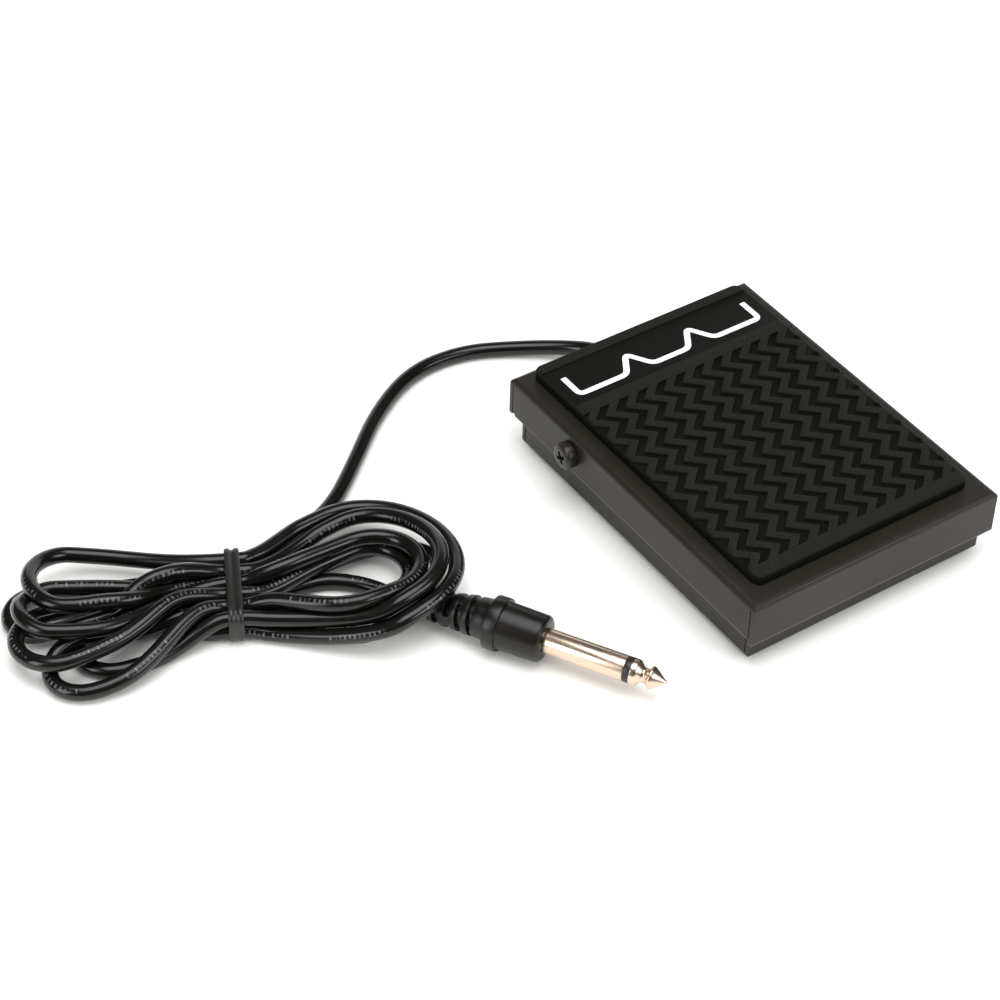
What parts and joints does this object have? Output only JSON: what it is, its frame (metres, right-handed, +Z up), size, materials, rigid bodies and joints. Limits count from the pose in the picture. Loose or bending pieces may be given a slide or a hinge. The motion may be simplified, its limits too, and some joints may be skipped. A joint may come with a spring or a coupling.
{
  "type": "sustain pedal",
  "caption": "Piano sustain pedal: a steel foot plate with a ribbed rubber tread hinged over a base pan, its cable tied in a hank and ending in a jack plug.",
  "frame": {"origin": "centre of the pedal's footprint on the floor, its free cable left out", "axes": "+Z up, +Y from the toe end to the end where the cable leaves, +X to the right of a player facing the pedal's rear"},
  "size_m": [0.2234, 0.1366, 0.0237],
  "materials": {
    "painted_steel": "satin",
    "tread_rubber": "matte",
    "foot_rubber": "matte",
    "stop_rubber": "matte",
    "black_screw": "satin",
    "zinc_steel": "satin",
    "spring_steel": "polished",
    "white_nylon": "matte",
    "board_green": "satin",
    "switch_black": "satin",
    "switch_red": "satin",
    "cable_pvc": "gloss",
    "plug_pvc": "satin",
    "plug_metal": "polished",
    "wire_red": "gloss",
    "wire_black": "gloss",
    "wire_white": "gloss",
    "tie_plastic": "satin",
    "white_print": "matte"
  },
  "bodies": {
    "base": {"base_pan": "painted_steel", "rubber_feet": "foot_rubber", "front_bump_stops": "stop_rubber", "rear_bump_stops": "stop_rubber", "pivot_screws": "black_screw", "pivot_nuts": "zinc_steel", "spring_seat": "white_nylon", "return_spring": "spring_steel", "circuit_board": "board_green", "board_posts": "zinc_steel", "board_screws": "zinc_steel", "microswitch_body": "switch_black", "microswitch_pins": "zinc_steel", "polarity_switch": "zinc_steel", "polarity_screws": "zinc_steel", "strain_relief": "plug_pvc", "cord_clamp": "white_nylon", "clamp_screws": "zinc_steel", "signal_wire": "wire_red", "ground_wire": "wire_black", "link_wires": "wire_white", "cord_inner": "cable_pvc", "cord_lead": "cable_pvc", "cord_hank": "cable_pvc", "hank_tie": "tie_plastic", "cord_tail": "cable_pvc", "plug_moulding": "plug_pvc", "plug_sleeve": "plug_metal", "plug_insulator": "plug_pvc", "plug_tip": "plug_metal"},
    "lid": {"lid_pan": "painted_steel", "tread_mat": "tread_rubber", "pivot_bushes": "white_nylon", "spring_cap": "white_nylon", "actuator_pad": "stop_rubber"},
    "switch_lever": {"microswitch_lever": "spring_steel"},
    "switch_plunger": {"microswitch_plunger": "switch_red"},
    "polarity_knob": {"polarity_slider": "switch_black"}
  },
  "joints": [
    {"name": "lid_press", "type": "hinge", "parent": "base", "child": "lid", "pos_m": [0, 0.0233, 0.0149], "axis": [1, 0, 0], "range_deg": [0, 4], "stiffness_Nm_per_rad": 4.3, "springref_deg": -4.01, "deforming": ["return_spring"]},
    {"name": "lever_press", "type": "hinge", "parent": "base", "child": "switch_lever", "pos_m": [-0.006, -0.026, 0.0136], "axis": [0, 1, 0], "range_deg": [0, 15]},
    {"name": "plunger_press", "type": "slide", "parent": "base", "child": "switch_plunger", "axis": [0, 0, 1], "range_m": [-0.00072, 0]},
    {"name": "polarity_slide", "type": "slide", "parent": "base", "child": "polarity_knob", "axis": [1, 0, 0], "range_m": [0, 0.002]}
  ],
  "couplings": [
    {"joint": "lever_press", "follows": "lid_press", "ratio": 3.74},
    {"joint": "plunger_press", "follows": "lid_press", "m_per_rad": -0.010027}
  ]
}
